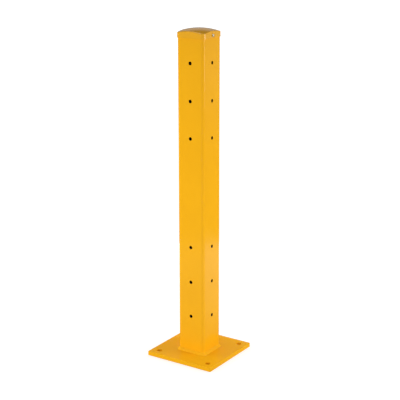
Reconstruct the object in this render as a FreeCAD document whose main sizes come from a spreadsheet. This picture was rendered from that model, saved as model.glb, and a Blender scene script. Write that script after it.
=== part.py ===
# Square steel post for bolted guard rails: a hollow section welded to a base plate, with a domed cap.
# Millimetres, +Z up. The origin is the centre of the plate's underside, on the floor.

import FreeCAD
import Part
import Sketcher
import os

# Driving sizes
SIZES = [
    # Base plate
    ("plate_side", 254.0),        # square plate, edge to edge
    ("plate_thickness", 14.3),
    ("plate_corner", 3.0),        # radius of the upright corners
    ("plate_edge", 0.8),          # chamfer that breaks the top and bottom edges
    ("anchor_hole", 19.05),       # hole for a floor anchor
    ("anchor_inset", 28.6),       # from the plate's edges to a hole's centre
    # Post tube
    ("post_height", 1092.2),      # from the floor to the tube's sawn top end
    ("tube_side", 101.6),
    ("tube_wall", 3.18),
    ("tube_corner", 9.5),         # outer corner radius
    ("bore_corner_least", 1.0),   # least inner corner radius of a rolled tube
    ("rail_hole", 11.9),          # hole for a rail bolt
    ("rail_low", 266.0),          # from the floor to the middle of the lower rail
    ("rail_drop", 214.2),         # from the tube's top end down to the middle of the upper rail
    ("rail_pitch", 122.0),        # from one hole of a rail to the next
    # Weld bead
    ("weld_leg", 8.0),            # how far the bead reaches up the tube and out on the plate
    ("weld_crown", 0.4),          # how far the bead's face bulges past flat
    # Cap
    ("cap_sheet", 1.9),           # sheet thickness
    ("cap_clearance", 0.3),       # between the tube and the skirt, on each side
    ("cap_dome", 210.0),          # outer radius of the domed top
    ("cap_bend", 1.9),            # inner radius where the dome turns down into the skirt
    ("cap_skirt", 14.0),          # how far the skirt reaches below the tube's top end
    # Cap screws
    ("screw_drop", 5.2),          # below the tube's top end, in the middle of the face
    ("screw_shank", 4.8),
    ("screw_play", 0.1),          # between the shank and the tube's hole, all round
    ("skirt_play", 0.5),          # between the shank and the skirt's hole, all round
    ("screw_length", 16.0),       # under the head, with the point
    ("screw_point", 4.0),         # length of the tapered end
    ("point_width", 1.6),         # the taper's blunt tip
    ("flange_width", 10.4),       # the head's own washer
    ("flange_thickness", 1.0),
    ("head_flats", 7.94),         # across the hexagon's flats
    ("head_height", 4.2),         # with the flange
]

# Sizes that follow from the driving ones
WORKED_OUT = [
    ("anchor_place", "=Sizes.plate_side / 2 - Sizes.anchor_inset"),
    ("tube_length", "=Sizes.post_height - Sizes.plate_thickness"),
    ("tube_bore", "=Sizes.tube_side - 2 * Sizes.tube_wall"),
    ("bore_corner", "=max(Sizes.tube_corner - Sizes.tube_wall; Sizes.bore_corner_least)"),
    ("rail_rise", "=Sizes.post_height - Sizes.rail_drop - Sizes.rail_low"),
    # From the post's middle line to the outermost point of the tube's end, at a corner
    ("tube_reach", "=sqrt(2) * (Sizes.tube_side / 2 - Sizes.tube_corner) + Sizes.tube_corner"),
    # The bead's bulged face is an arc over the chord between its two toes
    ("weld_start", "=Sizes.tube_side / 2"),
    ("weld_end", "=weld_start + Sizes.weld_leg"),
    ("weld_face", "=(Sizes.weld_leg ^ 2 / 2 + Sizes.weld_crown ^ 2) / (2 * Sizes.weld_crown)"),
    ("cap_side", "=Sizes.tube_side + 2 * (Sizes.cap_clearance + Sizes.cap_sheet)"),
    ("cap_corner", "=Sizes.tube_corner + Sizes.cap_clearance + Sizes.cap_sheet"),
    ("cap_fold", "=Sizes.cap_bend + Sizes.cap_sheet"),
    # Heights in the cap, from the skirt's lower edge. The dome just clears the tube's corners.
    ("dome_centre", "=Sizes.cap_skirt + Sizes.cap_bend"
                    " - sqrt((Sizes.cap_dome - Sizes.cap_sheet) ^ 2 - tube_reach ^ 2)"),
    ("cap_blank", "=dome_centre + Sizes.cap_dome + Sizes.cap_sheet"),
    # The cut over the dome passes the skirt's faces and the blank's top edges
    ("dome_width", "=cap_side + 2 * Sizes.cap_sheet"),
    ("dome_over", "=Sizes.cap_dome + cap_side / 2"),
    # The fold's arc touches the skirt's face and the dome. Its centre is set from the dome's centre.
    ("fold_across", "=cap_side / 2 - cap_fold"),
    ("fold_up", "=sqrt((Sizes.cap_dome - cap_fold) ^ 2 - fold_across ^ 2)"),
    ("fold_end", "=fold_across * Sizes.cap_dome / (Sizes.cap_dome - cap_fold)"),
    ("screw_height", "=Sizes.cap_skirt - Sizes.screw_drop"),
    ("tube_screw_height", "=tube_length - Sizes.screw_drop"),
    ("tube_screw_hole", "=Sizes.screw_shank + 2 * Sizes.screw_play"),
    ("skirt_screw_hole", "=Sizes.screw_shank + 2 * Sizes.skirt_play"),
    ("screw_seat", "=cap_side / 2"),
    ("screw_level", "=Sizes.post_height - Sizes.screw_drop"),
    ("shank_radius", "=Sizes.screw_shank / 2"),
    ("shank_end", "=Sizes.screw_length - Sizes.screw_point"),
    ("point_radius", "=Sizes.point_width / 2"),
    ("flange_radius", "=Sizes.flange_width / 2"),
    ("head_corners", "=2 * Sizes.head_flats / sqrt(3)"),
    ("head_start", "=screw_seat + Sizes.flange_thickness"),
    ("head_rise", "=Sizes.head_height - Sizes.flange_thickness"),
]

FULL_TURN = 360
QUARTER_TURN = 90
SQUARE_SIDES = 4
OPPOSITE_SIDES = 2
HEXAGON_SIDES = 6
DIAGONAL = 0.5 ** 0.5             # part of a slanting length at 45 degrees that lies along each axis
NEARLY_LEVEL = 0.5                # least upright part of the normal of a face that counts as level
UP = FreeCAD.Vector(0, 0, 1)

document = FreeCAD.newDocument("guard_post")


def fill_sheet(name, rows):
    """A new sheet with one named value in each row."""
    sheet = document.addObject("Spreadsheet::Sheet", name)
    for row, (alias, content) in enumerate(rows, start=1):
        sheet.set(f"A{row}", alias)
        sheet.set(f"B{row}", str(content))
        sheet.setAlias(f"B{row}", alias)
    document.recompute()
    return sheet


sheets = {"Sizes": fill_sheet("Sizes", SIZES), "WorkedOut": fill_sheet("WorkedOut", WORKED_OUT)}


def number(cell):
    """The value of a cell that is named as Sheet.alias."""
    sheet, alias = cell.split(".")
    return float(sheets[sheet].get(alias))


def new_body(label, seat=None):
    """A body for one piece, lifted to the height that the seat cell gives."""
    body = document.addObject("PartDesign::Body", label)
    body.Label = label
    if seat:
        body.setExpression("Placement.Base.z", seat)
    return body


def origin_feature(body, role):
    """An origin plane or axis of the body, found by its role."""
    return next(feature for feature in body.Origin.OriginFeatures if feature.Role == role)


def new_sketch(body, name, plane="XY_Plane"):
    sketch = body.newObject("Sketcher::SketchObject", name)
    sketch.AttachmentSupport = [(origin_feature(body, plane), "")]
    sketch.MapMode = "FlatFace"
    return sketch


def flat(x, y):
    return FreeCAD.Vector(x, y, 0)


def relate(sketch, kind, *places):
    sketch.addConstraint(Sketcher.Constraint(kind, *places))


def measure(sketch, cell, kind, *places):
    """Add a measured constraint whose value is bound to a cell."""
    index = sketch.addConstraint(Sketcher.Constraint(kind, *places, number(cell)))
    sketch.setExpression(f"Constraints[{index}]", cell)


def rounded_square(sketch, side, corner):
    """A square with round corners about the sketch's origin, sized by two cells."""
    half = number(side) / 2
    radius = number(corner)
    straight = half - radius
    lines = []
    arcs = []
    for turn in range(SQUARE_SIDES):
        spin = FreeCAD.Rotation(UP, QUARTER_TURN * turn)
        start = spin.multVec(flat(half, -straight))
        end = spin.multVec(flat(half, straight))
        middle = spin.multVec(flat(straight, straight) + flat(radius, radius) * DIAGONAL)
        finish = spin.multVec(flat(straight, half))
        lines.append(sketch.addGeometry(Part.LineSegment(start, end)))
        arcs.append(sketch.addGeometry(Part.Arc(end, middle, finish)))
    for turn in range(SQUARE_SIDES):
        relate(sketch, "Tangent", lines[turn], 2, arcs[turn], 1)
        relate(sketch, "Tangent", arcs[turn], 2, lines[(turn + 1) % SQUARE_SIDES], 1)
        relate(sketch, "Horizontal" if turn % 2 else "Vertical", lines[turn])
    for arc in arcs[1:]:
        relate(sketch, "Equal", arcs[0], arc)
    relate(sketch, "Equal", lines[0], lines[1])
    relate(sketch, "Symmetric", arcs[0], 3, arcs[2], 3, -1, 1)
    measure(sketch, side, "DistanceX", lines[2], 1, lines[0], 2)
    measure(sketch, corner, "Radius", arcs[0])


def round_hole(sketch, diameter, up, across=None):
    """A circle whose diameter and centre are given by cells, on the middle line if none is for across."""
    centre = flat(number(across) if across else 0, number(up))
    circle = sketch.addGeometry(Part.Circle(centre, UP, number(diameter) / 2))
    measure(sketch, diameter, "Diameter", circle)
    measure(sketch, up, "DistanceY", -1, 1, circle, 3)
    if across:
        measure(sketch, across, "DistanceX", -1, 1, circle, 3)
    else:
        relate(sketch, "PointOnObject", circle, 3, -2)


def join_ends(sketch, curves):
    """Join each curve's end to the next one's start, and the last to the first."""
    for this, following in zip(curves, curves[1:] + curves[:1]):
        relate(sketch, "Coincident", this, 2, following, 1)


def lines_through(sketch, points):
    """Straight lines from point to point."""
    return [sketch.addGeometry(Part.LineSegment(start, end)) for start, end in zip(points, points[1:])]


def pad(body, name, sketch, length):
    feature = body.newObject("PartDesign::Pad", name)
    feature.Profile = sketch
    feature.setExpression("Length", length)
    document.recompute()
    return feature


def cut_through(body, name, sketch, both_ways=False):
    """A pocket through all that lies along the sketch's normal, or on both its sides."""
    feature = body.newObject("PartDesign::Pocket", name)
    feature.Profile = sketch
    feature.Type = "ThroughAll"
    feature.Reversed = True
    if both_ways:
        feature.SideType = "Symmetric"
    document.recompute()
    return feature


def turned(body, kind, name, sketch, angle):
    """A Revolution or Groove about the sketch's level axis, half its angle on each side."""
    feature = body.newObject(f"PartDesign::{kind}", name)
    feature.Profile = sketch
    feature.ReferenceAxis = (sketch, ["H_Axis"])
    feature.Angle = angle
    feature.Midplane = True
    document.recompute()
    return feature


def break_edges(body, name, feature, edges, size):
    chamfer = body.newObject("PartDesign::Chamfer", name)
    chamfer.Base = (feature, edges)
    chamfer.setExpression("Size", size)
    document.recompute()


def polar_pattern(body, name, count, extent):
    """Copies spread over an angle about the body's upright axis."""
    pattern = body.newObject("PartDesign::PolarPattern", name)
    pattern.Axis = (origin_feature(body, "Z_Axis"), [""])
    pattern.Angle = extent
    pattern.Occurrences = count
    return pattern


def repeat_round(body, name, features, count):
    """Copy features evenly round the body's upright axis."""
    pattern = polar_pattern(body, name, count, FULL_TURN)
    pattern.Originals = features
    body.Tip = pattern
    document.recompute()
    return pattern


def is_level(face):
    return face.Surface.TypeId == "Part::GeomPlane" and abs(face.Surface.Axis.z) > NEARLY_LEVEL


def edges_round(feature, wanted):
    """Names of the edges that bound the feature's wanted faces."""
    bounds = [edge for face in feature.Shape.Faces if wanted(face) for edge in face.Edges]
    return [
        f"Edge{index}"
        for index, edge in enumerate(feature.Shape.Edges, start=1)
        if any(edge.isSame(bound) for bound in bounds)
    ]


def lowest_face(feature):
    """Name of the feature's lowest level face."""
    level = [
        (face.CenterOfMass.z, f"Face{index}")
        for index, face in enumerate(feature.Shape.Faces, start=1)
        if is_level(face)
    ]
    return min(level)[1]


def make_base_plate():
    """A square plate with broken edges and an anchor hole near each corner."""
    body = new_body("base_plate")
    outline = new_sketch(body, "plate_outline")
    rounded_square(outline, "Sizes.plate_side", "Sizes.plate_corner")
    slab = pad(body, "plate_slab", outline, "Sizes.plate_thickness")
    break_edges(body, "plate_edges", slab, edges_round(slab, is_level), "Sizes.plate_edge")
    place = new_sketch(body, "anchor_place")
    round_hole(place, "Sizes.anchor_hole", "WorkedOut.anchor_place", "WorkedOut.anchor_place")
    hole = cut_through(body, "anchor_hole", place)
    repeat_round(body, "anchor_holes", [hole], SQUARE_SIDES)
    return body


def rail_holes(body):
    """Three holes in line for the lower rail, through two walls, and their copies."""
    column = new_sketch(body, "rail_column", "XZ_Plane")
    column.setExpression("AttachmentOffset.Base.y", "Sizes.rail_low - Sizes.plate_thickness")
    pitch = number("Sizes.rail_pitch")
    radius = number("Sizes.rail_hole") / 2
    low, middle, high = (
        column.addGeometry(Part.Circle(flat(0, step * pitch), UP, radius)) for step in (-1, 0, 1)
    )
    relate(column, "Coincident", middle, 3, -1, 1)
    relate(column, "PointOnObject", high, 3, -2)
    relate(column, "Symmetric", low, 3, high, 3, -1, 1)
    relate(column, "Equal", middle, low)
    relate(column, "Equal", middle, high)
    measure(column, "Sizes.rail_pitch", "DistanceY", middle, 3, high, 3)
    measure(column, "Sizes.rail_hole", "Diameter", middle)
    drilled = cut_through(body, "rail_holes", column, both_ways=True)
    upper = body.newObject("PartDesign::LinearPattern", "upper_rail")
    upper.Direction = (origin_feature(body, "Z_Axis"), [""])
    upper.setExpression("Length", "WorkedOut.rail_rise")
    upper.Occurrences = 2
    other_walls = polar_pattern(body, "other_walls", 2, QUARTER_TURN)
    copies = body.newObject("PartDesign::MultiTransform", "rail_hole_copies")
    copies.Originals = [drilled]
    copies.Transformations = [upper, other_walls]
    body.Tip = copies
    document.recompute()


def make_post_tube():
    """A square hollow section that stands on the plate, with its bolt and screw holes."""
    body = new_body("post_tube", seat="Sizes.plate_thickness")
    section = new_sketch(body, "tube_section")
    rounded_square(section, "Sizes.tube_side", "Sizes.tube_corner")
    rounded_square(section, "WorkedOut.tube_bore", "WorkedOut.bore_corner")
    pad(body, "tube_length", section, "WorkedOut.tube_length")
    rail_holes(body)
    place = new_sketch(body, "tube_screw_place", "YZ_Plane")
    round_hole(place, "WorkedOut.tube_screw_hole", "WorkedOut.tube_screw_height")
    hole = cut_through(body, "tube_screw_hole", place)
    repeat_round(body, "tube_screw_holes", [hole], OPPOSITE_SIDES)
    return body


def make_base_weld():
    """A bulged fillet bead that follows the tube's outline at its foot."""
    body = new_body("base_weld", seat="Sizes.plate_thickness")
    path = new_sketch(body, "weld_path")
    rounded_square(path, "Sizes.tube_side", "Sizes.tube_corner")
    bead = new_sketch(body, "weld_bead", "XZ_Plane")
    start = number("WorkedOut.weld_start")
    end = number("WorkedOut.weld_end")
    leg = number("Sizes.weld_leg")
    bulge = leg / 2 + number("Sizes.weld_crown") * DIAGONAL
    root, toe, top = flat(start, 0), flat(end, 0), flat(start, leg)
    foot = bead.addGeometry(Part.LineSegment(root, toe))
    face = bead.addGeometry(Part.Arc(toe, flat(start + bulge, bulge), top))
    side = bead.addGeometry(Part.LineSegment(top, root))
    join_ends(bead, [foot, face, side])
    relate(bead, "PointOnObject", foot, 1, -1)
    relate(bead, "Horizontal", foot)
    relate(bead, "Vertical", side)
    measure(bead, "WorkedOut.weld_start", "DistanceX", -1, 1, foot, 1)
    measure(bead, "WorkedOut.weld_end", "DistanceX", -1, 1, foot, 2)
    measure(bead, "Sizes.weld_leg", "DistanceY", side, 2, side, 1)
    measure(bead, "WorkedOut.weld_face", "Radius", face)
    run = body.newObject("PartDesign::AdditivePipe", "weld_run")
    run.Profile = bead
    run.Spine = path
    document.recompute()
    return body


def dome_section(body):
    """What is cut away above the dome, seen from the side, about the dome's centre."""
    section = new_sketch(body, "dome_section", "XZ_Plane")
    section.setExpression("AttachmentOffset.Base.y", "WorkedOut.dome_centre")
    radius = number("Sizes.cap_dome")
    half = number("WorkedOut.dome_width") / 2
    over = number("WorkedOut.dome_over")
    rim = (radius ** 2 - half ** 2) ** 0.5
    arc = section.addGeometry(Part.Arc(flat(half, rim), flat(0, radius), flat(-half, rim)))
    left = section.addGeometry(Part.LineSegment(flat(-half, rim), flat(-half, over)))
    top = section.addGeometry(Part.LineSegment(flat(-half, over), flat(half, over)))
    right = section.addGeometry(Part.LineSegment(flat(half, over), flat(half, rim)))
    join_ends(section, [arc, left, top, right])
    relate(section, "Coincident", arc, 3, -1, 1)
    relate(section, "Symmetric", arc, 1, arc, 2, -2)
    relate(section, "Vertical", left)
    relate(section, "Horizontal", top)
    relate(section, "Vertical", right)
    measure(section, "Sizes.cap_dome", "Radius", arc)
    measure(section, "WorkedOut.dome_width", "DistanceX", top, 1, top, 2)
    measure(section, "WorkedOut.dome_over", "DistanceY", -1, 1, top, 1)
    return section


def fold_section(body):
    """What is cut away over one rounded fold, between the skirt's face and the dome."""
    section = new_sketch(body, "fold_section", "XZ_Plane")
    section.setExpression("AttachmentOffset.Base.y", "WorkedOut.dome_centre")
    radius = number("WorkedOut.cap_fold")
    centre = flat(number("WorkedOut.fold_across"), number("WorkedOut.fold_up"))
    over = number("WorkedOut.dome_over")
    outside = centre + flat(radius, 0)
    inside = centre * (number("Sizes.cap_dome") / centre.Length)
    middle = centre + (outside + inside - centre * 2).normalize() * radius
    arc = section.addGeometry(Part.Arc(outside, middle, inside))
    left = section.addGeometry(Part.LineSegment(inside, flat(inside.x, over)))
    top = section.addGeometry(Part.LineSegment(flat(inside.x, over), flat(outside.x, over)))
    right = section.addGeometry(Part.LineSegment(flat(outside.x, over), outside))
    join_ends(section, [arc, left, top, right])
    relate(section, "Horizontal", arc, 1, arc, 3)
    relate(section, "Vertical", left)
    relate(section, "Horizontal", top)
    relate(section, "Vertical", right)
    measure(section, "WorkedOut.cap_fold", "Radius", arc)
    measure(section, "WorkedOut.fold_across", "DistanceX", -1, 1, arc, 3)
    measure(section, "WorkedOut.fold_up", "DistanceY", -1, 1, arc, 3)
    measure(section, "WorkedOut.fold_end", "DistanceX", -1, 1, arc, 2)
    measure(section, "WorkedOut.dome_over", "DistanceY", -1, 1, top, 1)
    return section


def make_post_cap():
    """A cap pressed from sheet: domed top, rounded folds and a skirt with two screw holes."""
    body = new_body("post_cap", seat="Sizes.post_height - Sizes.cap_skirt")
    outline = new_sketch(body, "cap_outline")
    rounded_square(outline, "WorkedOut.cap_side", "WorkedOut.cap_corner")
    pad(body, "cap_blank", outline, "WorkedOut.cap_blank")
    turned(body, "Groove", "cap_dome", dome_section(body), QUARTER_TURN)
    fold = turned(body, "Groove", "cap_fold", fold_section(body), QUARTER_TURN)
    folds = repeat_round(body, "cap_folds", [fold], SQUARE_SIDES)
    shell = body.newObject("PartDesign::Thickness", "cap_sheet")
    shell.Base = (folds, [lowest_face(folds)])
    shell.setExpression("Value", "Sizes.cap_sheet")
    shell.Reversed = True
    body.Tip = shell
    document.recompute()
    place = new_sketch(body, "skirt_screw_place", "YZ_Plane")
    round_hole(place, "WorkedOut.skirt_screw_hole", "WorkedOut.screw_height")
    hole = cut_through(body, "skirt_screw_hole", place)
    repeat_round(body, "skirt_screw_holes", [hole], OPPOSITE_SIDES)
    return body


def screw_section(body):
    """Half the lengthwise section of a screw's shank and flange, the flange's seat at the origin."""
    section = new_sketch(body, "screw_section", "XZ_Plane")
    section.setExpression("AttachmentOffset.Base.x", "WorkedOut.screw_seat")
    length = number("Sizes.screw_length")
    neck = number("WorkedOut.shank_end")
    shank = number("WorkedOut.shank_radius")
    blunt = number("WorkedOut.point_radius")
    thick = number("Sizes.flange_thickness")
    wide = number("WorkedOut.flange_radius")
    corners = [
        flat(-length, 0), flat(thick, 0), flat(thick, wide), flat(0, wide),
        flat(0, shank), flat(-neck, shank), flat(-length, blunt), flat(-length, 0),
    ]
    axis, top, edge, seat, side, point, end = lines_through(section, corners)
    join_ends(section, [axis, top, edge, seat, side, point, end])
    relate(section, "PointOnObject", axis, 1, -1)
    relate(section, "PointOnObject", seat, 1, -2)
    for level in (axis, edge, side):
        relate(section, "Horizontal", level)
    for upright in (top, seat, end):
        relate(section, "Vertical", upright)
    measure(section, "Sizes.screw_length", "DistanceX", axis, 1, -1, 1)
    measure(section, "Sizes.flange_thickness", "DistanceX", -1, 1, axis, 2)
    measure(section, "WorkedOut.flange_radius", "DistanceY", -1, 1, seat, 1)
    measure(section, "WorkedOut.shank_radius", "DistanceY", -1, 1, side, 1)
    measure(section, "WorkedOut.shank_end", "DistanceX", side, 2, -1, 1)
    measure(section, "WorkedOut.point_radius", "DistanceY", end, 2, end, 1)
    return section


def head_outline(body):
    """The screw head's hexagon, on the flange, its corners on a circle."""
    outline = new_sketch(body, "head_outline", "YZ_Plane")
    outline.setExpression("AttachmentOffset.Base.z", "WorkedOut.head_start")
    corner = flat(number("WorkedOut.head_corners") / 2, 0)
    turns = [FreeCAD.Rotation(UP, FULL_TURN / HEXAGON_SIDES * step) for step in range(HEXAGON_SIDES + 1)]
    flats = lines_through(outline, [turn.multVec(corner) for turn in turns])
    ring = outline.addGeometry(Part.Circle(flat(0, 0), UP, corner.x), True)
    join_ends(outline, flats)
    relate(outline, "Coincident", ring, 3, -1, 1)
    for side in flats:
        relate(outline, "PointOnObject", side, 1, ring)
    for side in flats[1:]:
        relate(outline, "Equal", flats[0], side)
    relate(outline, "Horizontal", flats[1])
    measure(outline, "WorkedOut.head_corners", "Diameter", ring)
    return outline


def make_cap_screws():
    """Two hexagon headed screws, on opposite faces of the cap's skirt."""
    body = new_body("cap_screws", seat="WorkedOut.screw_level")
    body.AllowCompound = True
    blank = turned(body, "Revolution", "screw_blank", screw_section(body), FULL_TURN)
    head = pad(body, "screw_head", head_outline(body), "WorkedOut.head_rise")
    repeat_round(body, "both_screws", [blank, head], OPPOSITE_SIDES)
    return body


pieces = [make_base_plate(), make_post_tube(), make_base_weld(), make_post_cap(), make_cap_screws()]
document.recompute()

failed = [item.Label for item in document.Objects if "Invalid" in item.State or "Error" in item.State]
if failed:
    raise RuntimeError(f"these objects failed: {failed}")
for piece in pieces:
    if piece.Shape.isNull() or not piece.Shape.isValid():
        raise RuntimeError(f"{piece.Label} has no valid shape")

os.makedirs("parts", exist_ok=True)
for piece in pieces:
    piece.Shape.exportStep(f"parts/{piece.Label}.step")
    print(f"{piece.Label}: {len(piece.Shape.Solids)} solids, {piece.Shape.Volume:.0f} cubic millimetres")
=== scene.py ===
# %% [markdown]
# # A guard rail post in yellow powder coat
# The object is a square steel post for a factory guard rail. It stands on a bolted base plate,
# carries two groups of rail holes on each face and is closed by a pressed cap that two screws hold.
#
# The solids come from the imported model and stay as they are. This lesson gives them their finish,
# models the small things that a solid leaves plain, and sets up the studio and the camera.

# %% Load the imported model
import math

import bpy
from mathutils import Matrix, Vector


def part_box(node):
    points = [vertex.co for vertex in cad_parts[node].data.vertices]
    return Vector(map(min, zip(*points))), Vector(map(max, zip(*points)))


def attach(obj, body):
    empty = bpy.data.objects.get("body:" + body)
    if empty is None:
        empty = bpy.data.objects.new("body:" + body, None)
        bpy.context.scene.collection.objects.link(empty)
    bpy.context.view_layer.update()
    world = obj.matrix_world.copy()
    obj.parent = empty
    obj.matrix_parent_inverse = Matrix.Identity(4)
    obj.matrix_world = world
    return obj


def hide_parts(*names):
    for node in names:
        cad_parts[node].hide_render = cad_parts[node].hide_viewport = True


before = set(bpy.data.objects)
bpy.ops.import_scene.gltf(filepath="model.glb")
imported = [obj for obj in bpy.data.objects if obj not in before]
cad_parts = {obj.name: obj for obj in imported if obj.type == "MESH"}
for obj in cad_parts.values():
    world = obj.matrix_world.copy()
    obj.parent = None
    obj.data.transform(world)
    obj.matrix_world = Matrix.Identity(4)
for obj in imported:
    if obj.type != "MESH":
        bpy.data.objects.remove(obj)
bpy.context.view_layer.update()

MM = 0.001


def in_mm(place):
    return [round(v / MM, 1) for v in place]


print("pieces:", sorted(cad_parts))


# %% [markdown]
# ## Small helpers for working as by hand
# By hand one clicks on what should move. A script selects by place instead. Every operator acts on
# all that is selected, and the loaded solids are still selected, so each step starts from nothing
# selected.

# %% Helpers: selecting and applying
def deselect_all():
    if bpy.context.object and bpy.context.object.mode != "OBJECT":
        bpy.ops.object.mode_set(mode="OBJECT")
    bpy.ops.object.select_all(action="DESELECT")


def take(piece):
    """Makes one object the only one that the next operators act on."""
    deselect_all()
    piece.select_set(True)
    bpy.context.view_layer.objects.active = piece


def select_corners(piece, is_wanted):
    """In edit mode, selects the vertices whose place passes the test, and what they bound."""
    bpy.ops.mesh.select_mode(type="VERT")
    bpy.ops.mesh.select_all(action="DESELECT")
    bpy.ops.object.mode_set(mode="OBJECT")
    for vertex in piece.data.vertices:
        vertex.select = is_wanted(vertex.co)
    bpy.ops.object.mode_set(mode="EDIT")


def apply_modifiers(piece):
    take(piece)
    for modifier in list(piece.modifiers):
        bpy.ops.object.modifier_apply(modifier=modifier.name)


def settle(piece):
    """Puts the place, turn and scale of an object into its mesh."""
    take(piece)
    bpy.ops.object.transform_apply(location=True, rotation=True, scale=True)


deselect_all()
print("helpers ready, nothing selected")

# %% [markdown]
# ## The camera
# The photograph looks down on the post from a little above its cap, past its front corner. A camera
# could be turned by eye until the picture fits. Here its place and focal length were fitted to the
# corners of the plate and to the rail holes, so the perspective is the same too.

# %% Camera
CAMERA_PLACE = Vector((1.9044, -2.8576, 1.5053))
CAMERA_AIM = Vector((0.00225, 0.0015, 0.5398))
CAMERA_ROLL = -0.0016
FOCAL_LENGTH = 96.90
SENSOR_WIDTH = 36.0
SEES_TO = 200.0

camera_data = bpy.data.cameras.new("photo_camera")
camera_data.lens = FOCAL_LENGTH
camera_data.sensor_width = SENSOR_WIDTH
camera_data.clip_end = SEES_TO
camera = bpy.data.objects.new("photo_camera", camera_data)
bpy.context.scene.collection.objects.link(camera)
camera.location = CAMERA_PLACE
camera.rotation_euler = (CAMERA_AIM - CAMERA_PLACE).to_track_quat("-Z", "Y").to_euler()
camera.rotation_euler.rotate_axis("Z", CAMERA_ROLL)
bpy.context.scene.camera = camera
print("camera", round((CAMERA_AIM - CAMERA_PLACE).length, 3), "m from its aim")


# %% [markdown]
# ## Finishes built from nodes
# A finish is a small graph: noise says where, a ramp or a range says how much, and the shader takes
# the result. Wiring each node in full would hide that, so every helper adds one node and gives back
# its output.

# %% Helpers: one node each
# Nearly all of a noise lies between these two values
MOST_NOISE = (0.3, 0.7)


def new_finish(name):
    finish = bpy.data.materials.new(name)
    finish.use_nodes = True
    shader = finish.node_tree.nodes["Principled BSDF"]
    return finish, finish.node_tree.nodes, finish.node_tree.links, shader


def add_noise(nodes, links, place, scale, detail):
    """About as many clouds to a metre as the scale says."""
    noise = nodes.new("ShaderNodeTexNoise")
    noise.inputs["Scale"].default_value = scale
    noise.inputs["Detail"].default_value = detail
    links.new(place, noise.inputs["Vector"])
    return noise.outputs["Fac"]


def add_range(nodes, links, value, low, high, to_low, to_high):
    """Carries low to to_low and high to to_high, and stops at both ends."""
    reach = nodes.new("ShaderNodeMapRange")
    reach.inputs["From Min"].default_value = low
    reach.inputs["From Max"].default_value = high
    reach.inputs["To Min"].default_value = to_low
    reach.inputs["To Max"].default_value = to_high
    links.new(value, reach.inputs["Value"])
    return reach.outputs["Result"]


def add_ramp(nodes, links, value, stops):
    """A colour for each value, blended between the stops."""
    ramp = nodes.new("ShaderNodeValToRGB")
    while len(ramp.color_ramp.elements) < len(stops):
        ramp.color_ramp.elements.new(1.0)
    for element, (at, colour) in zip(ramp.color_ramp.elements, stops):
        element.position = at
        element.color = (*colour, 1.0)
    links.new(value, ramp.inputs["Fac"])
    return ramp.outputs["Color"]


def add_bump(nodes, links, height, strength, distance, below=None):
    """Small relief for the shading alone, on top of another one if there is one below."""
    bump = nodes.new("ShaderNodeBump")
    bump.inputs["Strength"].default_value = strength
    bump.inputs["Distance"].default_value = distance
    links.new(height, bump.inputs["Height"])
    if below:
        links.new(below, bump.inputs["Normal"])
    return bump.outputs["Normal"]


def add_vector_step(nodes, links, operation, vector, other=(0, 0, 0)):
    """One sum on a vector, with both kinds of result."""
    step = nodes.new("ShaderNodeVectorMath")
    step.operation = operation
    step.inputs[1].default_value = other
    links.new(vector, step.inputs[0])
    return step.outputs


print("node helpers ready")

# %% [markdown]
# ## Yellow powder coat
# Powder coat is a plastic film that is baked on. It flows as it melts, so it is smooth but for a
# faint orange peel, and it is slightly thicker in some places than in others. A picture of paint
# could be wrapped round the post, but noise on the object's own coordinates has no seams and keeps
# its scale on every piece.
#
# The yellow is one and the same. The film's shine differs: the plate has been walked on and is the
# dullest, the tube is in between, and the pressed cap is smooth sheet, so its film is the glossiest.

# %% Powder coat
YELLOW_THIN = (0.895, 0.428, 0.0080)
YELLOW_FULL = (0.930, 0.455, 0.0090)
THICKNESS_CLOUDS = 6.0
GLOSS_CLOUDS = 60.0
SWELLS = 180.0
SWELL_HEIGHT = 1.0 * MM
SWELL_SHARE = 0.12
DIMPLES = 700.0
DIMPLE_HEIGHT = 0.3 * MM
DIMPLE_SHARE = 0.10
FILM_IOR = 1.5
# Shine, then the least and the greatest roughness
PLATE_FILM = (0.1, 0.20, 0.26)
TUBE_FILM = (0.3, 0.12, 0.18)
CAP_FILM = (1.0, 0.07, 0.11)


def new_powder_coat(name, shine, smoothest, roughest):
    """The yellow film, with its colour and roughness as sockets that a finish may mix further."""
    finish, nodes, links, shader = new_finish(name)
    place = nodes.new("ShaderNodeTexCoord").outputs["Object"]
    thickness = add_noise(nodes, links, place, THICKNESS_CLOUDS, detail=3.0)
    colour = add_ramp(nodes, links, thickness, [(0.3, YELLOW_THIN), (0.7, YELLOW_FULL)])
    links.new(colour, shader.inputs["Base Color"])
    flow = add_noise(nodes, links, place, GLOSS_CLOUDS, detail=2.0)
    gloss = add_range(nodes, links, flow, *MOST_NOISE, smoothest, roughest)
    links.new(gloss, shader.inputs["Roughness"])
    swells = add_noise(nodes, links, place, SWELLS, detail=1.0)
    dimples = add_noise(nodes, links, place, DIMPLES, detail=2.0)
    relief = add_bump(nodes, links, swells, SWELL_SHARE, SWELL_HEIGHT)
    relief = add_bump(nodes, links, dimples, DIMPLE_SHARE, DIMPLE_HEIGHT, relief)
    links.new(relief, shader.inputs["Normal"])
    shader.inputs["IOR"].default_value = FILM_IOR
    shader.inputs["Specular IOR Level"].default_value = shine
    return finish, place, colour, gloss


plate_coat = new_powder_coat("yellow_powder_coat_on_plate", *PLATE_FILM)[0]
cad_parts["base_plate"].data.materials[0] = plate_coat
cap_coat = new_powder_coat("yellow_powder_coat_on_cap", *CAP_FILM)[0]
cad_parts["post_cap"].data.materials[0] = cap_coat
print("powder coat on the plate and the cap")

# %% [markdown]
# ## The bare inside of the tube
# Powder is sprayed from outside, so it hardly gets through the bolt holes. Inside, the tube keeps
# the dark brown scale of the rolling mill, and the holes look black. A second material would need
# the solid's faces sorted, and the solid is left as it is, so the finish finds the inside by itself:
# with the tube's straight parts taken off a point's place, what is left is the corner radius on the
# outside, and less under it.

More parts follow.
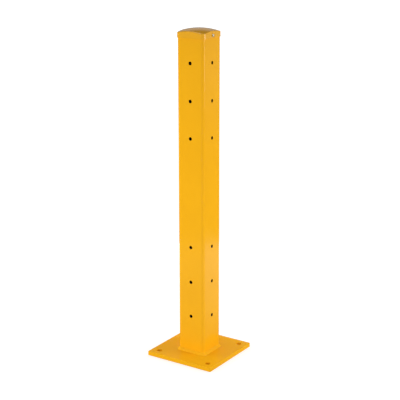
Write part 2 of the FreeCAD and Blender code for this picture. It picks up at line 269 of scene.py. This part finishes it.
# %% Powder coat that thins out in the holes
SCALE_DARK = (0.045, 0.026, 0.014)
SCALE_BROWN = (0.080, 0.042, 0.018)
SCALE_CLOUDS = 45.0
SCALE_ROUGH = 0.6
PAINT_ENDS = 1.4 * MM
PAINT_THINS = 0.3 * MM
TUBE_CORNER = 9.5 * MM
BEYOND_THE_TUBE = 10.0

tube_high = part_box("post_tube")[1]
tube_half = tube_high[0]
straight = tube_half - TUBE_CORNER
tube_coat, place, colour, gloss = new_powder_coat("yellow_powder_coat_outside", *TUBE_FILM)
nodes, links = tube_coat.node_tree.nodes, tube_coat.node_tree.links
shader = nodes["Principled BSDF"]
one_quarter = add_vector_step(nodes, links, "ABSOLUTE", place)["Vector"]
parts = (straight, straight, BEYOND_THE_TUBE)
past_parts = add_vector_step(nodes, links, "SUBTRACT", one_quarter, parts)["Vector"]
in_corner = add_vector_step(nodes, links, "MAXIMUM", past_parts)["Vector"]
reach = add_vector_step(nodes, links, "LENGTH", in_corner)["Value"]
edge = (TUBE_CORNER - PAINT_ENDS, TUBE_CORNER - PAINT_THINS)
paint = add_range(nodes, links, reach, *edge, 0.0, 1.0)
clouds = add_noise(nodes, links, place, SCALE_CLOUDS, detail=4.0)
scale = add_ramp(nodes, links, clouds, [(0.35, SCALE_DARK), (0.65, SCALE_BROWN)])
mixed_colour = nodes.new("ShaderNodeMix")
mixed_colour.data_type = "RGBA"
links.new(paint, mixed_colour.inputs["Factor"])
links.new(scale, mixed_colour.inputs["A"])
links.new(colour, mixed_colour.inputs["B"])
links.new(mixed_colour.outputs["Result"], shader.inputs["Base Color"])
mixed_gloss = nodes.new("ShaderNodeMix")
links.new(paint, mixed_gloss.inputs["Factor"])
mixed_gloss.inputs["A"].default_value = SCALE_ROUGH
links.new(gloss, mixed_gloss.inputs["B"])
links.new(mixed_gloss.outputs["Result"], shader.inputs["Roughness"])
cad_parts["post_tube"].data.materials[0] = tube_coat
print("paint ends", round(PAINT_ENDS / MM, 2), "mm under the tube's faces")

# %% [markdown]
# ## Zinc plate
# The screws are zinc plated. Zinc is a bright silver, and the bath that seals it leaves a thin,
# slightly yellow skin with faint clouds. One grey would look like plastic, so noise moves the colour
# and the roughness a little.

# %% Zinc plate
ZINC_COOL = (0.70, 0.67, 0.56)
ZINC_WARM = (0.78, 0.72, 0.54)
ZINC_CLOUDS = 420.0
ZINC_SMOOTHEST = 0.24
ZINC_ROUGHEST = 0.40
GRAINS = 2600.0
GRAIN_HEIGHT = 0.05 * MM
GRAIN_SHARE = 0.15

zinc, nodes, links, shader = new_finish("bright_zinc_plate")
place = nodes.new("ShaderNodeTexCoord").outputs["Object"]
clouds = add_noise(nodes, links, place, ZINC_CLOUDS, detail=3.0)
skin = add_ramp(nodes, links, clouds, [(0.35, ZINC_COOL), (0.65, ZINC_WARM)])
links.new(skin, shader.inputs["Base Color"])
grain = add_noise(nodes, links, place, GRAINS, detail=2.0)
dullness = add_range(nodes, links, grain, *MOST_NOISE, ZINC_SMOOTHEST, ZINC_ROUGHEST)
links.new(dullness, shader.inputs["Roughness"])
links.new(add_bump(nodes, links, grain, GRAIN_SHARE, GRAIN_HEIGHT), shader.inputs["Normal"])
shader.inputs["Metallic"].default_value = 1.0
print("zinc ready for the screws")

# %% [markdown]
# ## The weld bead
# The tube is welded to the plate all round. The torch moves along in small steps, so the bead sets
# as a row of crescents that overlap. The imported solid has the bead's size but a smooth face. A bump
# in the paint could draw the ripples, but the bead's outline would stay smooth. Here four unlike
# ripples are modelled, an Array repeats them and a Curve bends the row round the tube, so every
# crescent is real. The path comes first, because the ripples have to fit into its length.

# %% The bead's path round the tube
CORNER_STEPS = 12

weld_low, weld_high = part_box("base_weld")
deselect_all()
bpy.ops.mesh.primitive_plane_add(size=2 * tube_half, location=(0, 0, weld_low[2]))
weld_path = bpy.context.object
weld_path.name = "weld_path"
settle(weld_path)
bpy.ops.object.mode_set(mode="EDIT")
bpy.ops.mesh.select_all(action="SELECT")
bpy.ops.mesh.bevel(offset=TUBE_CORNER, segments=CORNER_STEPS, affect="VERTICES")
bpy.ops.mesh.select_all(action="SELECT")
bpy.ops.mesh.delete(type="ONLY_FACE")
bpy.ops.object.mode_set(mode="OBJECT")
bpy.ops.object.convert(target="CURVE")
weld_path = bpy.context.object
weld_path.data.dimensions = "3D"
weld_path.data.twist_mode = "Z_UP"
bpy.ops.object.mode_set(mode="EDIT")
bpy.ops.curve.select_all(action="SELECT")
bpy.ops.curve.switch_direction()
bpy.ops.object.mode_set(mode="OBJECT")
weld_run = weld_path.data.splines[0].calc_length()
print("the bead runs", round(weld_run / MM, 1), "mm round the tube")

# %% [markdown]
# ### The section of the bead
# A fillet weld fills the corner with a triangle whose face swells a little. It could be drawn point
# by point, but a square that loses its outer corner already is that triangle. Its long side is cut
# into steps, and each step moves out along the swell.

# %% The section of the bead
BEAD_CROWN = 0.2 * MM
FACE_STEPS = 8
STEP_SLACK = 0.5 / FACE_STEPS
DIAGONAL = math.sqrt(0.5)

leg = weld_high[2] - weld_low[2]
deselect_all()
bpy.ops.mesh.primitive_plane_add(
    size=leg, rotation=(0, math.pi / 2, 0), location=(0, leg / 2, leg / 2)
)
weld_bead = bpy.context.object
weld_bead.name = "weld_bead"
settle(weld_bead)


def on_face(co):
    """True on the bead's sloping face, from toe to toe: all but the root in the corner."""
    return co.y + co.z > leg / 2


def at_step(co, step):
    """True at one step across the face, from -1 at the tube to 1 at the plate."""
    return on_face(co) and abs((co.y - co.z) / leg - step) < STEP_SLACK


bpy.ops.object.mode_set(mode="EDIT")
select_corners(weld_bead, lambda co: min(co.y, co.z) > leg / 2)
bpy.ops.mesh.delete(type="VERT")
select_corners(weld_bead, on_face)
bpy.ops.mesh.edge_face_add()
bpy.ops.mesh.subdivide(number_cuts=FACE_STEPS - 1)
steps = [-1 + 2 * step / FACE_STEPS for step in range(FACE_STEPS + 1)]
for step in steps:
    out = BEAD_CROWN * (1 - step ** 2) * DIAGONAL
    select_corners(weld_bead, lambda co: at_step(co, step))
    bpy.ops.transform.translate(value=(0, out, out))
bpy.ops.object.mode_set(mode="OBJECT")
print("section of", len(weld_bead.data.vertices), "points, leg", round(leg / MM, 2), "mm")

# %% [markdown]
# ### Four ripples
# Each ripple rises slowly and falls fast, and its middle lags behind its ends, which makes the
# crescent. One ripple repeated would look stamped, so there are four of unlike height. The section
# is extruded row by row, and each row's points are then lifted. At the toes they slide along the
# tube or the plate, so that the bead stays in touch with both.

# %% Four ripples
RIPPLE_ABOUT = 3.6 * MM
RIPPLE_RISES = (0.34 * MM, 0.22 * MM, 0.38 * MM, 0.28 * MM)
RIPPLE_SHAPE = (0.0, 0.30, 0.80, 1.0, 0.60)
RIPPLE_LAG = 1.5 * MM
TOE_SHARE = 0.5

row_rises = [rise * share for rise in RIPPLE_RISES for share in RIPPLE_SHAPE]
lengths = round(weld_run / (RIPPLE_ABOUT * len(RIPPLE_RISES)))
length = weld_run / lengths
row_step = length / len(row_rises)
take(weld_bead)
bpy.ops.object.mode_set(mode="EDIT")
bpy.ops.mesh.select_all(action="SELECT")
for row in row_rises:
    bpy.ops.mesh.extrude_region_move(TRANSFORM_OT_translate={"value": (row_step, 0, 0)})
for row, rise in enumerate(row_rises):
    for step in steps:
        rounded = 1 - step ** 2
        swell = rise * (rounded + TOE_SHARE * (1 - rounded)) * DIAGONAL
        out = swell if step > -1 else 0
        up = swell if step < 1 else 0
        select_corners(
            weld_bead, lambda co: at_step(co, step) and abs(co.x - row * row_step) < row_step / 4
        )
        bpy.ops.transform.translate(value=(0, out, up))
for step in steps:
    select_corners(weld_bead, lambda co: at_step(co, step))
    bpy.ops.transform.translate(value=(RIPPLE_LAG * (1 - step ** 2), 0, 0))
bpy.ops.object.mode_set(mode="OBJECT")
print(len(RIPPLE_RISES), "ripples in", round(length / MM, 2), "mm")

# %% [markdown]
# ### The whole row
# A weld runs on without a break. Its ripples could be set one by one, but an Array and a Curve do
# that in two steps. Whole copies fit round the tube, because their length was worked out from the
# path. The last row meets the first, and merging the points there closes the bead.

# %% The whole row, bent round the tube
WELD_MERGE = 0.02 * MM
WELD_SMOOTH = math.radians(50)

row_of_ripples = weld_bead.modifiers.new("row of ripples", "ARRAY")
row_of_ripples.count = lengths
row_of_ripples.use_relative_offset = False
row_of_ripples.use_constant_offset = True
row_of_ripples.constant_offset_displace = (length, 0, 0)
round_tube = weld_bead.modifiers.new("round the tube", "CURVE")
round_tube.object = weld_path
apply_modifiers(weld_bead)
bpy.ops.object.mode_set(mode="EDIT")
bpy.ops.mesh.select_all(action="SELECT")
bpy.ops.mesh.remove_doubles(threshold=WELD_MERGE)
bpy.ops.mesh.normals_make_consistent(inside=False)
bpy.ops.object.mode_set(mode="OBJECT")
bpy.ops.object.shade_smooth_by_angle(angle=WELD_SMOOTH)
weld_bead.data.materials.append(plate_coat)
bpy.data.objects.remove(weld_path)
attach(weld_bead, "root")
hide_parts("base_weld")
reach = max(vertex.co.x for vertex in weld_bead.data.vertices)
top = max(vertex.co.z for vertex in weld_bead.data.vertices)
print(lengths * len(RIPPLE_RISES), "ripples; reach and top in mm:", in_mm((reach, top)))


# %% [markdown]
# ## The cap screws
# Two self-tapping screws hold the cap. Their heads are hexagons pressed together with a washer, with
# a rounded crown, and a coarse thread cuts into the tube's wall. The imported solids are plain. A round
# part could be spun from one outline, but a hexagon has none, so each form starts from a circle with
# as many corners as it needs and grows by extruding.

# %% Helper: a form that grows along Z from a circle
def grow(name, corners, radius, start, steps):
    """A closed form: a filled circle, then rings that each rise by a height to a new radius."""
    deselect_all()
    bpy.ops.mesh.primitive_circle_add(
        vertices=corners, radius=radius, fill_type="NGON", location=(0, 0, start)
    )
    piece = bpy.context.object
    piece.name = name
    settle(piece)
    bpy.ops.object.mode_set(mode="EDIT")
    bpy.ops.mesh.select_all(action="SELECT")
    for rise, wider in steps:
        bpy.ops.mesh.extrude_region_move(TRANSFORM_OT_translate={"value": (0, 0, rise)})
        bpy.ops.transform.resize(value=(wider / radius, wider / radius, 1))
        radius = wider
    bpy.ops.mesh.select_all(action="SELECT")
    bpy.ops.mesh.normals_make_consistent(inside=False)
    bpy.ops.object.mode_set(mode="OBJECT")
    return piece


print("ready to grow the screw's forms")

# %% [markdown]
# ### Head and washer
# The washer's rim slopes up to the head, and the hexagon has its top corners cut off under a low
# crown. Pressed steel has no sharp edges, and soft ones catch the light. They could be modelled ring
# by ring, but a Bevel modifier rounds every edge that turns by more than a small angle at once.

# %% Head and washer
HEAD_FLATS = 7.94 * MM
HEAD_CHAMFER = 0.45 * MM
HEAD_EDGE = 0.12 * MM
EDGE_FROM = math.radians(20)
CROWN_RISE = 0.6 * MM
# Shares of the crown's rise and of the head's radius
CROWN_STEPS = ((0.6, 0.65), (0.3, 0.35), (0.1, 0.1))
WASHER_CORNERS = 48
WASHER_RIM = 0.7 * MM
WASHER_RISE = 0.3 * MM
WASHER_INSIDE = 0.8

screw_low, screw_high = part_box("cap_screws")
cap_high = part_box("post_cap")[1]
head_tall = screw_high[0] - cap_high[0]
washer_half = (screw_high[1] - screw_low[1]) / 2
head_half = HEAD_FLATS / math.sqrt(3)
washer = grow("washer", WASHER_CORNERS, washer_half, 0.0, [
    (WASHER_RIM, washer_half),
    (WASHER_RISE, head_half),
    (-WASHER_RISE / 2, head_half * WASHER_INSIDE),
])
head = grow("hexagon", 6, head_half, WASHER_RIM, [
    (head_tall - WASHER_RIM - HEAD_CHAMFER - CROWN_RISE, head_half),
    (HEAD_CHAMFER, head_half - HEAD_CHAMFER),
    *[(rise * CROWN_RISE, share * head_half) for rise, share in CROWN_STEPS],
])
for piece in (washer, head):
    soft_edges = piece.modifiers.new("soft edges", "BEVEL")
    soft_edges.width = HEAD_EDGE
    soft_edges.segments = 2
    soft_edges.limit_method = "ANGLE"
    soft_edges.angle_limit = EDGE_FROM
    apply_modifiers(piece)
print("head height and washer width in mm:", in_mm((head_tall, 2 * washer_half)))

# %% [markdown]
# ### Shank and thread
# A thread is a ridge that winds round the shank. Plain rings would look alike from afar, but a screw
# made of them could never turn in. The Screw modifier turns a small triangle round the axis and moves
# it on by the pitch with each turn. The ridge's two ends are then closed.

# %% Shank and thread
SHANK_LONG = 16.0 * MM
POINT_LONG = 4.0 * MM
SHANK_ROOT = 1.9 * MM
SHANK_CORNERS = 24
THREAD_CREST = 2.4 * MM
THREAD_PITCH = 1.6 * MM
THREAD_TURNS = 8
THREAD_STEPS = 24
THREAD_MERGE = 0.005 * MM

shank = grow("shank", SHANK_CORNERS, SHANK_ROOT, WASHER_RIM / 2, [
    (-WASHER_RIM / 2 - SHANK_LONG + POINT_LONG, SHANK_ROOT),
    (-POINT_LONG, SHANK_ROOT / 3),
])
deselect_all()
# A triangle is one and a half radii tall
ridge = (THREAD_CREST - SHANK_ROOT) / 1.5
bpy.ops.mesh.primitive_circle_add(
    vertices=3, radius=ridge, rotation=(math.pi / 2, math.pi / 2, 0),
    location=(THREAD_CREST - ridge, 0, -SHANK_LONG + POINT_LONG / 2),
)
thread = bpy.context.object
thread.name = "thread"
settle(thread)
winding = thread.modifiers.new("winding", "SCREW")
winding.screw_offset = THREAD_PITCH
winding.iterations = THREAD_TURNS
winding.steps = winding.render_steps = THREAD_STEPS
apply_modifiers(thread)
bpy.ops.object.mode_set(mode="EDIT")
bpy.ops.mesh.select_all(action="SELECT")
bpy.ops.mesh.remove_doubles(threshold=THREAD_MERGE)
bpy.ops.mesh.fill_holes(sides=3)
bpy.ops.mesh.normals_make_consistent(inside=False)
bpy.ops.object.mode_set(mode="OBJECT")
heights = [vertex.co.z for vertex in thread.data.vertices]
print("thread from and to, in mm:", in_mm((min(heights), max(heights))))

# %% [markdown]
# ### One screw, and its copy
# The four forms become one screw, which is laid on its side and put into the cap's right face. The
# other could be built in the same way again, but a copy with a mesh of its own, turned half round
# the post, is sure to be equal.

# %% One screw, and its copy on the other side
SCREW_SMOOTH = math.radians(30)

take(head)
for piece in (washer, shank, thread):
    piece.select_set(True)
bpy.ops.object.join()
right_screw = bpy.context.object
right_screw.name = "cap_screw_right"
right_screw.data.materials.clear()
right_screw.data.materials.append(zinc)
right_screw.rotation_euler = (0, math.pi / 2, 0)
right_screw.location = (cap_high[0], 0, (screw_low[2] + screw_high[2]) / 2)
settle(right_screw)
bpy.ops.object.shade_smooth_by_angle(angle=SCREW_SMOOTH)
bpy.ops.object.duplicate(linked=False)
left_screw = bpy.context.object
left_screw.name = "cap_screw_left"
left_screw.rotation_euler = (0, 0, math.pi)
settle(left_screw)
for piece in (right_screw, left_screw):
    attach(piece, "root")
    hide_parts("cap_screws")
print("two screws of", len(right_screw.data.polygons), "faces each")

# %% [markdown]
# ## Floor
# The photograph is a cut-out on white. A pale floor that is white to the camera gives the same ground
# and still holds the post's soft shadow. More lamps would make it white too, but they would bleach
# the yellow, so the floor's own lift is seen only by the rays that look at it and lights nothing.

# %% Floor
FLOOR_REACH = 90.0
FLOOR_CORNERS = 96

deselect_all()
bpy.ops.mesh.primitive_circle_add(vertices=FLOOR_CORNERS, radius=FLOOR_REACH, fill_type="NGON")
floor = bpy.context.object
floor.name = "studio_floor"
print("floor", FLOOR_REACH, "m")

# %% Floor paint
FLOOR_GREY = (0.62, 0.62, 0.61)
LIFT_NEAR = 0.52
LIFT_FAR = 0.90
LIFT_GROWS = (0.5, 3.0)


def rays_that_look(nodes, links):
    """1 for the rays that show a surface to the eye: straight, mirrored or through glass."""
    path = nodes.new("ShaderNodeLightPath")
    seen = path.outputs["Is Camera Ray"]
    for name in ("Is Glossy Ray", "Is Transmission Ray"):
        either = nodes.new("ShaderNodeMath")
        either.operation = "MAXIMUM"
        links.new(seen, either.inputs[0])
        links.new(path.outputs[name], either.inputs[1])
        seen = either.outputs["Value"]
    return seen


floor_paint = bpy.data.materials.new("pale_floor_paint")
floor_paint.use_nodes = True
nodes, links = floor_paint.node_tree.nodes, floor_paint.node_tree.links
nodes.clear()
lit = nodes.new("ShaderNodeBsdfDiffuse")
lit.inputs["Color"].default_value = (*FLOOR_GREY, 1.0)
place = nodes.new("ShaderNodeTexCoord").outputs["Object"]
away = add_vector_step(nodes, links, "LENGTH", place)["Value"]
amount = nodes.new("ShaderNodeMath")
amount.operation = "MULTIPLY"
links.new(rays_that_look(nodes, links), amount.inputs[0])
links.new(add_range(nodes, links, away, *LIFT_GROWS, LIFT_NEAR, LIFT_FAR), amount.inputs[1])
lift = nodes.new("ShaderNodeEmission")
links.new(amount.outputs["Value"], lift.inputs["Strength"])
both = nodes.new("ShaderNodeAddShader")
links.new(lit.outputs["BSDF"], both.inputs[0])
links.new(lift.outputs["Emission"], both.inputs[1])
out = nodes.new("ShaderNodeOutputMaterial")
links.new(both.outputs["Shader"], out.inputs["Surface"])
floor.data.materials.append(floor_paint)
print("floor lifted by", LIFT_NEAR, "near the post and", LIFT_FAR, "far off")

# %% [markdown]
# ## What the gloss mirrors
# A glossy film shows its surroundings. Here they are painted reflection: a ring that glows with greys
# of its own, seen only by reflections, stands in for a sheet of pale paper and the studio's wall. The
# paper's greys are darkest near the plate, a painted shadow of the post, and end a good metre away.
# Beyond it the wall is dark at its foot and has a pale band above eye height. It is palest at the back
# right, dim at the back left and darker still in front. So the foot of each face is pale, the rest is
# deep yellow, and the cap's crown, seen at a grazing angle, is grey. Single cards would hide the post
# from some sides. One ring of paper and wall that only reflections see hides it from none.

# %% Paper and walls for reflections
WALL_RADIUS = 1.25
WALL_TOP = 2.6
WALL_CORNERS = 96
PAPER_HOLE = 0.12
PAPER_LIES = 1.0 * MM

deselect_all()
bpy.ops.mesh.primitive_cylinder_add(
    vertices=WALL_CORNERS, radius=WALL_RADIUS, depth=WALL_TOP, end_fill_type="NOTHING",
    location=(0, 0, WALL_TOP / 2 + PAPER_LIES),
)
surroundings = bpy.context.object
surroundings.name = "painted_reflection_ring"
settle(surroundings)
bpy.ops.object.mode_set(mode="EDIT")
select_corners(surroundings, lambda co: co.z < WALL_TOP / 2)
bpy.ops.mesh.extrude_region_move(TRANSFORM_OT_translate={"value": (0, 0, 0)})
bpy.ops.transform.resize(value=(PAPER_HOLE / WALL_RADIUS, PAPER_HOLE / WALL_RADIUS, 1))
bpy.ops.object.mode_set(mode="OBJECT")
for hidden in ("visible_camera", "visible_diffuse", "visible_shadow", "visible_volume_scatter"):
    setattr(surroundings, hidden, False)
print("paper and walls", WALL_RADIUS, "m from the post")

# %% [markdown]
# ### Their greys
# Two lists of glowing greys, painted reflection, run out along the paper and then up the wall, one for
# the pale side and one for the dim side. The low greys near the plate are a painted shadow of the post.
# Painted faces would show steps, so ramps hold the greys. The heading of a point from the post blends
# the two, and dims what lies in front.

# %% Their greys
# Painted reflection greys: the low ones near the plate, out to 0.25 m, are a painted shadow of the post
PALE_PAPER = [
    (0.12, 0.30), (0.18, 0.30), (0.25, 0.20), (0.45, 0.46), (0.80, 0.68), (0.95, 0.88), (1.249, 0.88),
]
PALE_WALL = [
    (0.0, 0.02), (0.4, 0.06), (0.6, 0.18), (0.75, 0.34), (0.95, 0.32), (1.3, 0.45),
    (1.9, 0.2), (2.6, 0.1),
]
DIM_PAPER = [(0.12, 0.18), (0.25, 0.12), (0.45, 0.30), (0.80, 0.42), (0.95, 0.55), (1.249, 0.55)]
DIM_WALL = [
    (0.0, 0.03), (0.5, 0.04), (0.7, 0.10), (0.88, 0.14), (0.95, 0.28), (1.1, 0.30),
    (1.3, 0.36), (1.5, 0.48), (1.62, 0.48), (1.8, 0.22), (2.0, 0.04), (2.6, 0.02),
]
PALE_SIDE = (0.559, 0.829, 0.0)
PALE_REACH = (0.4, 1.0)
FRONT_REACH = (-1.0, 0.3)
FRONT_SHARE = 0.7

painted_reflection_greys = bpy.data.materials.new("painted_reflection_greys")
painted_reflection_greys.use_nodes = True
nodes, links = painted_reflection_greys.node_tree.nodes, painted_reflection_greys.node_tree.links
nodes.clear()
place = nodes.new("ShaderNodeTexCoord").outputs["Object"]
split = nodes.new("ShaderNodeSeparateXYZ")
links.new(place, split.inputs["Vector"])
level = add_vector_step(nodes, links, "MULTIPLY", place, (1, 1, 0))["Vector"]
out_and_up = nodes.new("ShaderNodeMath")
out_and_up.operation = "ADD"
links.new(add_vector_step(nodes, links, "LENGTH", level)["Value"], out_and_up.inputs[0])
links.new(split.outputs["Z"], out_and_up.inputs[1])
end = WALL_RADIUS + WALL_TOP
along = add_range(nodes, links, out_and_up.outputs["Value"], 0.0, end, 0.0, 1.0)
heading = add_vector_step(nodes, links, "NORMALIZE", level)["Vector"]
facing = add_vector_step(nodes, links, "DOT_PRODUCT", heading, PALE_SIDE)["Value"]
sides = nodes.new("ShaderNodeMix")
sides.data_type = "RGBA"
links.new(add_range(nodes, links, facing, *PALE_REACH, 0.0, 1.0), sides.inputs["Factor"])
for socket, paper, wall in (("A", DIM_PAPER, DIM_WALL), ("B", PALE_PAPER, PALE_WALL)):
    greys = paper + [(WALL_RADIUS + at, grey) for at, grey in wall]
    ramp = add_ramp(nodes, links, along, [(at / end, (grey,) * 3) for at, grey in greys])
    links.new(ramp, sides.inputs[socket])
# The greys glow by themselves, as painted reflection, and are not paper lit by the lamps
glow = nodes.new("ShaderNodeEmission")
links.new(sides.outputs["Result"], glow.inputs["Color"])
links.new(add_range(nodes, links, facing, *FRONT_REACH, FRONT_SHARE, 1.0), glow.inputs["Strength"])
out = nodes.new("ShaderNodeOutputMaterial")
links.new(glow.outputs["Emission"], out.inputs["Surface"])
surroundings.data.materials.append(painted_reflection_greys)
print(len(PALE_PAPER + PALE_WALL), "pale greys and", len(DIM_PAPER + DIM_WALL), "dim ones")

# %% [markdown]
# ## Light
# A studio fills its shadows with an even glow. A dome of lamps could give it, but the world does so
# from all sides at once. The rays that look at it see white, as the photograph's ground is.

# %% The even glow
AMBIENT = 0.475

world = bpy.data.worlds.new("studio")
bpy.context.scene.world = world
world.use_nodes = True
nodes, links = world.node_tree.nodes, world.node_tree.links
background = nodes["Background"]
strength = add_range(nodes, links, rays_that_look(nodes, links), 0.0, 1.0, AMBIENT, 1.0)
links.new(strength, background.inputs["Strength"])
background.inputs["Color"].default_value = (1.0, 1.0, 1.0, 1.0)
print("even glow of", AMBIENT)


# %% [markdown]
# ### Soft boxes
# Soft boxes stand round the post at its own height: tall ones in front of the wide face and at the
# left, low ones in front and at the right, and two behind for the hidden sides and the floor. That
# lights the faces evenly and leaves the cap's crown dim. Boxes overhead would be simpler, but they
# would light the crown as brightly as the faces.
#
# Their frames would show in the gloss, so only a small one, high at the right, is seen there. It
# draws the thin bright line down the rounded corner and the spark on the screw.

# %% Soft boxes
def soft_box(name, azimuth, distance, height, size, power, in_gloss=False):
    """A lamp that faces the post: azimuth 0 is in front of the wide face, 90 at the right."""
    turn = math.radians(azimuth)
    place = Vector((math.sin(turn) * distance, -math.cos(turn) * distance, height))
    data = bpy.data.lights.new(name, "AREA")
    data.shape = "RECTANGLE"
    data.size, data.size_y = size
    data.energy = power
    lamp = bpy.data.objects.new(name, data)
    bpy.context.scene.collection.objects.link(lamp)
    lamp.location = place
    aim = Vector((0.0, 0.0, height))
    lamp.rotation_euler = (aim - place).to_track_quat("-Z", "Y").to_euler()
    lamp.visible_camera = False
    lamp.visible_glossy = in_gloss


# Azimuth in degrees, then distance, height and size in metres, then power in watts
soft_box("front_box", 0.0, 1.6, 0.65, (1.0, 1.6), 8.0)
soft_box("front_low_box", 8.0, 1.8, 0.25, (1.2, 0.4), 5.9)
soft_box("right_low_box", 112.0, 1.3, 0.28, (0.7, 0.5), 7.0)
soft_box("right_back_box", 180.0, 1.2, 0.6, (0.9, 0.8), 2.2)
soft_box("back_box", 214.0, 1.2, 0.45, (0.9, 0.9), 5.4)
soft_box("left_side_box", -70.0, 1.6, 0.62, (1.0, 1.1), 12.2)
soft_box("right_high_box", 112.0, 1.2, 1.06, (0.48, 0.8), 4.2, in_gloss=True)
print("seven soft boxes")

# %% [markdown]
# ## View
# The plain view transform shows a colour as it was written.

# %% View
bpy.context.scene.view_settings.view_transform = "Standard"
